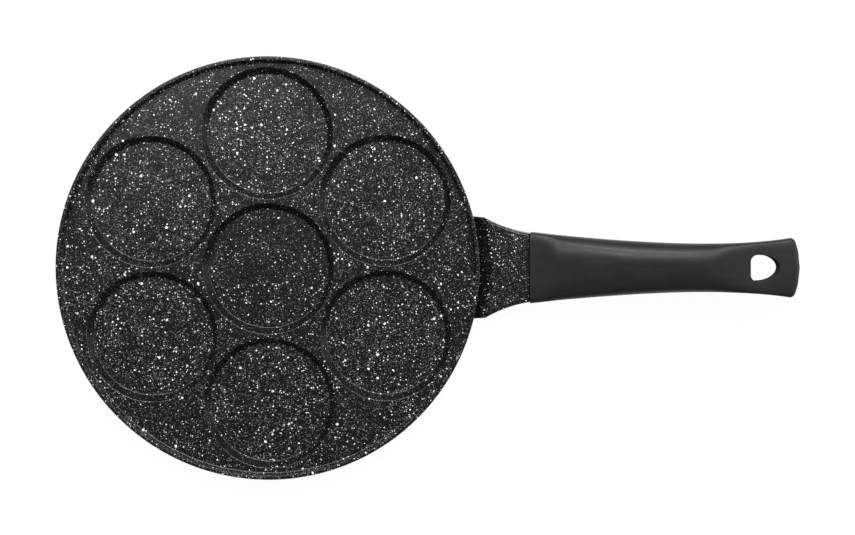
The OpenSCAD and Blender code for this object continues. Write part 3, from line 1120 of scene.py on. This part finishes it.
    def neck_half(self, x: float) -> float:
        """Returns half the neck's width at a distance x from the pan's axis."""
        spread = (self.neck_root_w - self.neck_end_w) / 2
        t = limit((self.joint.x - x) / (self.neck_l - self.neck_level))
        return self.neck_end_w / 2 + spread * blend(t, t * t, self.neck_sweep)

    def row_sag(self, r: float, y: float) -> float:
        """Returns how far a row at radius r falls back at a distance y off the middle line."""
        share = limit((self.joint.x - r) / (self.joint.x - self.rim_r))
        return share * (r - math.sqrt(r * r - y * y))

    def neck_row(self, r: float, top: float, inset: float = 0.0) -> list[Point3]:
        """Draws one row of the neck: a rounded bar section that follows the rim in plan.

        Args:
            r: The row's distance from the pan's axis on the middle line.
            top: The height of the neck's top there.
            inset: How far the whole row is drawn in.

        Returns:
            The row's points.
        """
        t = limit((r - self.rim_r) / self.neck_l)
        first = self.neck_half(r - self.row_sag(r, self.neck_root_w / 2))
        w = self.neck_half(r - self.row_sag(r, first)) + self.root_flare(r) - inset
        joint = self.joint
        root_z = self.height - self.neck_drop - self.neck_root_t
        end_z = joint.z - self.neck_end_t / 2 / math.cos(math.radians(self.rise))
        low = blend(root_z, end_z, t) + inset
        top -= inset
        c = self.neck_round
        side = arc((w - c, top - c), c, 0, 90, count=8)
        under = arc((w - c, low + c), c, -90, 0, count=8)
        run = steps(w - c, c - w, count=24)[1:-1]
        upright = steps(low + c, top - c, count=4)[1:-1]
        half = [(w, z) for z in upright] + side
        ring = half + [(y, top) for y in run]
        ring += [(-y, z) for y, z in reversed(under + half)]
        ring += [(y, low) for y in reversed(run)] + under
        tilt = math.tan(math.radians(self.rise))
        wall = math.tan(math.radians(self.wall_draft))
        made = []
        for y, z in ring:
            lean = t * (z - joint.z) * tilt + (1 - t) ** 3 * (self.hollow[1] - z) * wall
            made.append((r - self.row_sag(r, y) - lean, y, z))
        return made

    def root_flare(self, r: float) -> float:
        """Returns how much the neck widens where it runs out into the rim's wall."""
        reach = self.neck_flare
        left = reach - limit((r - self.rim_r + self.flare_in) / reach) * reach
        return reach - math.sqrt(reach * reach - left * left)

    def neck_line(self) -> list[Point2]:
        """Lists the neck's top in side view: hollow, climb, crest, dip and long slope."""
        start = self.slope_start
        line = [(self.rim_r - self.root_in, self.hollow[1])]
        line += arc(self.hollow, self.neck_fillet, 180, 270 + self.climb, count=16)
        line += arc(self.crest, self.crest_round, 90 + self.climb, 90 - self.crest_fall, count=10)
        line += arc(self.dip, self.dip_round, -90 - self.crest_fall, -90 + self.rise, count=8)
        tilt = math.tan(math.radians(self.rise))
        for r in steps(start.x, self.joint.x - self.neck_chamfer, count=14)[1:]:
            line.append((r, start.y + (r - start.x) * tilt))
        return line

    def neck_shape(self) -> bpy.types.Object:
        """Makes the neck as a closed shape whose root lies inside the pan's wall."""
        rows = [self.neck_row(r, top) for r, top in self.neck_line()]
        start = self.slope_start
        last = start.y + (self.joint.x - start.x) * math.tan(math.radians(self.rise))
        rows.append(self.neck_row(self.joint.x, last, self.neck_chamfer))
        return MeshSketch.lofted("neck_shape", rows)

    def on_grip(self, p: Sequence[float]) -> Point3:
        """Moves a point of the grip's own frame, whose x runs up the handle, into the pan's frame."""
        a = math.radians(self.rise)
        x, y, z = p
        along = x * math.cos(a) - z * math.sin(a)
        up = x * math.sin(a) + z * math.cos(a)
        return tuple(self.joint + Vector((along, y, up)))

    def bore(self, name: str, levels: Sequence[Point2], count: int) -> bpy.types.Object:
        """Makes the shape of a round bore at the screw's place.

        Args:
            name: The shape's name.
            levels: The bore's steps, as heights in the grip's frame and radii.
            count: How many points go round it.

        Returns:
            The shape.
        """
        rows = [
            [self.on_grip((self.screw_at + x, y, z)) for x, y in circle(radius, count)]
            for z, radius in levels
        ]
        return MeshSketch.lofted(name, rows)

    def tongue_shape(self) -> bpy.types.Object:
        """Makes the tongue as a bar with rounded edges."""
        edge = self.tongue_edge
        w, t = self.tongue_w / 2, self.tongue_t / 2
        outline = [Corner(w, t, edge), Corner(-w, t, edge), Corner(-w, -t, edge), Corner(w, -t, edge)]
        section = path(outline, closed=True, count=4)
        stations = ((-self.tongue_root, 1.0), (self.tongue_l - edge, 1.0), (self.tongue_l, self.tongue_tip))
        rows = [
            [self.on_grip((x, y * share, z * share + self.tongue_up)) for y, z in section]
            for x, share in stations
        ]
        return MeshSketch.lofted("tongue_shape", rows)

    def tapped_hole(self) -> bpy.types.Object:
        """Makes the shape of the screw's hole through the tongue."""
        radius = self.screw_d / 2 + self.thread_gap
        ends = (self.tongue_up - self.tongue_t, self.tongue_up + self.tongue_t)
        return self.bore("tapped_hole", [(z, radius) for z in ends], self.thread_points)


@dataclass
class Grip:
    """The moulded grip with its socket, counterbore and hanging hole."""

    casting: Casting
    length: float = 162.6
    step: float = 0.75
    waist_w: float = 29.4
    waist_at: float = 103.0
    end_w: float = 36.5
    palm_t: float = 18.6
    end_t: float = 13.0
    droop: float = 13.0
    collar_l: float = 5.5
    crown_l: float = 13.0
    end_bow: float = 47.0
    bow_l: float = 30.0
    end_round: float = 2.6
    front_edge: float = 0.6
    swell_l: float = 38.0
    thin_lead: float = 20.0
    collar_square: float = 10.0
    crown_square: float = 3.2
    palm_square: float = 2.5
    palm_l: float = 46.0
    end_square: float = 9.0
    flat_lag: float = 4.0
    flat_l: float = 34.0
    flare_front: float = 1.6
    flare_back: float = 2.4
    hang_l: float = 17.6
    hang_w: float = 16.0
    hang_end: float = 12.9
    hang_corner: float = 4.0
    hang_shoulder: float = 1.0
    hang_lean: float = 2.0
    hang_edge: float = 0.7
    hang_lead: float = 3.0
    hang_grow: float = 1.0
    lean_reach: float = 1.0
    socket_gap: float = 0.3
    socket_lead: float = 2.0
    joint_gap: float = 0.3
    washer_d: float = 10.0
    screw_gap: float = 0.25
    seat_wall: float = 2.6
    bore_chamfer: float = 0.4
    bore_lead: float = 3.0
    bore_run: float = 1.0
    seam_height: float = 0.08
    seam_half: float = 0.25
    seam_turn: float = 5.0
    end_turn: float = 84.0
    mouth_turn: float = 78.0
    bore_points: int = 64
    sharp_from: float = 40.0
    plastic: MouldedPhenolic = MouldedPhenolic()
    hole_plastic: MouldedPhenolic = MouldedPhenolic(
        name="hole_wall_phenolic", black=0.03, roughness=0.6, collar_rough=0.0, worn=0.0, gloss=0.0
    )

    HOLE_SLOT = 1

    def half_width(self, x: float) -> float:
        """Returns half the grip's width at a distance x from the joint."""
        waist = self.waist_w / 2
        front = self.casting.neck_end_w / 2 + self.step
        back = self.end_w / 2
        if x < self.waist_at:
            return waist + (front - waist) * (1 - x / self.waist_at) ** self.flare_front
        share = (x - self.waist_at) / (self.length - self.waist_at)
        return waist + (back - waist) * share ** self.flare_back

    def half_thickness(self, x: float) -> float:
        """Returns half the grip's thickness at a distance x from the joint."""
        front = self.casting.neck_end_t / 2 + self.step
        swell = blend(front, self.palm_t / 2, ease(x / self.swell_l))
        thin_from = self.waist_at - self.thin_lead
        return blend(swell, self.end_t / 2, ease((x - thin_from) / (self.length - thin_from)))

    def squareness(self, x: float) -> float:
        """Returns how boxy the section is at a distance x from the joint."""
        palm_from = self.collar_l + self.crown_l
        flat_from = self.waist_at + self.flat_lag
        crown = blend(self.collar_square, self.crown_square, ease((x - self.collar_l) / self.crown_l))
        rounder = (self.palm_square - self.crown_square) * ease((x - palm_from) / self.palm_l)
        flatter = (self.end_square - self.palm_square) * ease((x - flat_from) / self.flat_l)
        return crown + rounder + flatter

    def fall(self, x: float) -> float:
        """Returns how far the grip's middle line lies below a straight one."""
        return self.droop * (x / self.length) ** 2

    def quarter(self, w: float, h: float, square: float) -> list[Point2]:
        """Lists a quarter of a section from its side, past the moulding seam, to its top.

        Args:
            w: Half the section's width.
            h: Half its thickness.
            square: How boxy it is.

        Returns:
            The points as (y, z).
        """
        beside = w * (1 - (self.seam_half / h) ** square) ** (1 / square)
        points = [(w, 0.0), (beside, self.seam_half)]
        for a in sweep(self.seam_turn, 90, count=18):
            points.append((w * math.cos(a) ** (2 / square), h * math.sin(a) ** (2 / square)))
        points[-1] = (0.0, h)
        return points

    def row(self, x: float, inset: float, bow: float) -> list[Point3]:
        """Draws one row of the grip.

        Args:
            x: The distance from the joint along the grip.
            inset: How far the row is drawn in all round.
            bow: How much of the far end's curve the row has, from 0 to 1.

        Returns:
            The row's points in the pan's frame.
        """
        w = self.half_width(min(x, self.length)) - inset
        h = self.half_thickness(min(x, self.length)) - inset
        quarter = self.quarter(w, h, self.squareness(x))
        if inset == 0:
            quarter[0] = (w + self.seam_height, 0.0)
        upper = [*quarter, *[(-y, z) for y, z in reversed(quarter[:-1])]]
        ring = [*upper, *[(y, -z) for y, z in reversed(upper[1:-1])]]
        made = []
        for y, z in ring:
            back = bow * (self.end_bow - math.sqrt(self.end_bow**2 - y * y))
            made.append(self.casting.on_grip((x - back, y, z - self.fall(x))))
        return made

    def build(self) -> bpy.types.Object:
        """Makes the grip's mesh and dresses it.

        Returns:
            The finished piece.
        """
        piece = self.body_shape()
        for finish in (self.plastic, self.hole_plastic):
            piece.data.materials.append(finish.material())
        for hollow in (self.socket_shape, self.hang_hole_shape, self.screw_bore_shape):
            carve(piece, hollow(), Cut.TAKE)
        soften(piece, self.sharp_from)
        return piece

    def body_shape(self) -> bpy.types.Object:
        """Makes the grip's outer form."""
        bow_from = self.length - self.bow_l
        body_to = self.length - self.end_round
        crown_to = self.collar_l + self.crown_l
        front = self.joint_gap
        edge = self.front_edge
        rows = [
            self.row(front + edge * (1 - math.cos(a)), edge * (1 - math.sin(a)), 0)
            for a in sweep(0, 90, count=4)
        ]
        stations = [
            *steps(front + edge, self.collar_l, count=3)[1:],
            *steps(self.collar_l, crown_to, count=12)[1:],
            *steps(crown_to, bow_from, count=54)[1:],
        ]
        rows += [self.row(x, 0, 0) for x in stations]
        rows += [self.row(blend(bow_from, body_to, s), 0, s) for s in steps(0, 1, count=14)[1:]]
        for a in sweep(0, self.end_turn, count=8)[1:]:
            along = body_to + self.end_round * math.sin(a)
            rows.append(self.row(along, self.end_round * (1 - math.cos(a)), 1))
        return MeshSketch.lofted("handle_moulded", rows, Cap.STRIPS)

    def socket_shape(self) -> bpy.types.Object:
        """Makes the shape of the tongue's socket."""
        cast = self.casting
        gap = self.socket_gap
        w, t = cast.tongue_w / 2 + gap, cast.tongue_t / 2 + gap
        section = [(w, t), (-w, t), (-w, -t), (w, -t)]
        rows = [
            [cast.on_grip((x, y, z + cast.tongue_up)) for y, z in section]
            for x in (-self.socket_lead, cast.tongue_l + gap)
        ]
        return MeshSketch.lofted("socket_shape", rows)

    def hang_outline(self, grow: float) -> list[Point2]:
        """Lists the rounded D of the hanging hole about its middle, made larger all round by grow."""
        left = -self.hang_l / 2
        turn_x = left + self.hang_corner + self.hang_shoulder
        half = self.hang_w / 2 + grow
        reach = self.hang_l / 2 - turn_x + grow
        nose = [(turn_x + reach * math.cos(a), half * math.sin(a)) for a in sweep(-90, 90, count=40)]
        side = Corner(turn_x, half)
        top = Corner(left - grow, half, self.hang_corner + grow)
        low = Corner(left - grow, -half, self.hang_corner + grow)
        middle = Corner(left - grow, 0.0)
        upper = round_corner(side, top, middle, count=10)
        lower = round_corner(middle, low, Corner(turn_x, -half), count=10)
        return [*nose, *upper, *lower]

    def surface_lean(self, x: float, side: int) -> float:
        """Returns the slope, against the hole's axis, of the grip's top (side 1) or underside (-1)."""
        near, far = x - self.lean_reach, x + self.lean_reach
        swell = side * (self.half_thickness(far) - self.half_thickness(near))
        climb = swell - self.fall(far) + self.fall(near)
        angle = math.atan(climb / (far - near)) + math.radians(self.casting.rise + self.hang_lean)
        return math.tan(angle)

    def hang_hole_shape(self) -> bpy.types.Object:
        """Makes the hanging hole's shape, with both mouths flared to round the hole's edges."""
        at = self.length - self.hang_end - self.hang_l / 2
        middle = Vector(self.casting.on_grip((at, 0.0, -self.fall(at))))
        lean = math.radians(self.hang_lean)
        along = Vector((math.cos(lean), 0.0, -math.sin(lean)))
        axis = Vector((math.sin(lean), 0.0, math.cos(lean)))
        thick = self.half_thickness(at)
        edge = self.hang_edge
        flare = sweep(0, self.mouth_turn, count=6)
        levels = [(thick - edge + edge * math.sin(a), edge * (1 - math.cos(a))) for a in flare]
        top_z, top_grow = levels[-1]
        levels.append((top_z + self.hang_lead, top_grow + self.hang_grow))
        rows = []
        for side in (-1, 1):
            tilt = self.surface_lean(at, side)
            for z, grow in levels if side > 0 else reversed(levels):
                row = []
                for x, y in self.hang_outline(grow):
                    spot = middle + along * x + axis * (side * z + x * tilt)
                    row.append((spot.x, y, spot.z))
                rows.append(row)
        return MeshSketch.lofted("hang_hole_shape", rows, slot=self.HOLE_SLOT)

    def screw_bore_shape(self) -> bpy.types.Object:
        """Makes the stepped bore for the screw, with a small chamfer at its mouth."""
        cast = self.casting
        seat = cast.tongue_up - cast.tongue_t / 2 - self.socket_gap - self.seat_wall
        wide = self.washer_d / 2 + self.screw_gap
        slim = cast.screw_d / 2 + self.screw_gap
        underside = -self.half_thickness(cast.screw_at)
        levels = [
            (underside - self.bore_lead, wide + (self.bore_lead + self.bore_chamfer)),
            (underside + self.bore_chamfer, wide),
            (seat, wide),
            (seat, slim),
            (seat + self.seat_wall + self.bore_run, slim),
        ]
        return cast.bore("screw_bore_shape", levels, self.bore_points)


# Setting


@dataclass
class Softbox:
    """One flat studio lamp."""

    name: str
    place: Point3
    aim: Point3
    size: Point2
    power: float

    def build(self) -> None:
        """Hangs the lamp."""
        lamp = bpy.data.lights.new(self.name, "AREA")
        lamp.shape = "RECTANGLE"
        lamp.size, lamp.size_y = self.size
        lamp.energy = self.power
        made = bpy.data.objects.new(self.name, lamp)
        made.location = self.place
        made.rotation_euler = (Vector(self.aim) - Vector(self.place)).to_track_quat("-Z", "Y").to_euler()
        bpy.context.scene.collection.objects.link(made)


@dataclass
class Studio:
    """The floor, the lamps and the camera over the pan."""

    image_width: int = 855
    rim_scale: float = 0.6117
    rim_height: float = 16.0
    camera_height: float = 1150.0
    camera_y: float = 60.0
    aim_x: float = 98.3
    aim_y: float = 0.6
    camera_roll: float = -0.30
    sensor: float = 36.0
    floor_reach: float = 6000.0
    floor_drop: float = 0.02
    air: StudioAir = StudioAir()
    lamps: tuple[Softbox, ...] = (
        Softbox("key_softbox", (0.55, 1.0, 1.25), (0.05, 0.0, 0.0), (2.2, 1.6), 27.0),
        Softbox("side_fill", (1.5, 0.1, 0.55), (0.0, 0.0, 0.0), (0.7, 0.7), 6.0),
        Softbox("top_strip", (-0.1, 0.42, 1.12), (0.05, 0.05, 0.0), (0.9, 0.08), 5.5),
        Softbox("edge_strip", (0.0, 0.92, 1.05), (0.05, 0.0, 0.0), (2.0, 0.10), 17.0),
    )

    def build(self) -> None:
        """Sets up floor, light and camera."""
        self.lay_floor()
        self.air.light()
        for lamp in self.lamps:
            lamp.build()
        self.place_camera()
        bpy.context.scene.view_settings.view_transform = "Standard"

    def lay_floor(self) -> None:
        """Lays the pale floor just under the pan's base."""
        sketch = MeshSketch()
        far, z = self.floor_reach, -self.floor_drop
        sketch.add_face(sketch.add_points([(-far, -far, z), (far, -far, z), (far, far, z), (-far, far, z)]))
        floor = sketch.finish("studio_floor")
        floor.data.materials.append(PaleFloor().material())
        floor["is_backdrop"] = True

    def place_camera(self) -> None:
        """Hangs the camera above, a little towards +Y, and aims it as the photograph was taken."""
        lens = bpy.data.cameras.new("photo_camera")
        lens.sensor_width = self.sensor
        lens.lens = self.sensor * self.camera_height / (self.image_width * self.rim_scale)
        made = bpy.data.objects.new("photo_camera", lens)
        high = self.rim_height + self.camera_height
        made.location = (self.aim_x * MM, self.camera_y * MM, high * MM)
        tilt = math.atan((self.camera_y - self.aim_y) / self.camera_height)
        made.rotation_euler = (-tilt, 0.0, math.radians(self.camera_roll))
        bpy.context.scene.collection.objects.link(made)
        bpy.context.scene.camera = made


def dress(node: str, material: bpy.types.Material) -> None:
    """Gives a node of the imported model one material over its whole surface."""
    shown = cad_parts[node]
    shown.data.materials.clear()
    shown.data.materials.append(material)
    LOG.info("%s: packed solid in %s", node, material.name)


def corners(box: Sequence[Vector]) -> list[list[float]]:
    """Returns a box's two corners as plain lists."""
    return [list(corner) for corner in box]


def main() -> None:
    """Builds the studio and the pan's pieces, and takes the scene's box before and after them."""
    logging.basicConfig(level=logging.INFO, format="%(message)s")
    cad_box = corners(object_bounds())
    Studio().build()

    casting = Casting()
    pan = casting.build()
    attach(pan, BODY)
    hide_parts("pan_casting")
    LOG.info("casting: %d faces", len(pan.data.polygons))

    handle = Grip(casting).build()
    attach(handle, BODY)
    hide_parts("handle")
    LOG.info("grip: %d faces", len(handle.data.polygons))

    dress("induction_disc", BRUSHED_STEEL.material())
    plating = ZincSteel().material()
    for node in ("handle_screw", "spring_washer", "flat_washer"):
        dress(node, plating)

    {"cad": cad_box, "visual": corners(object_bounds())}


if __name__ == "__main__":
    main()
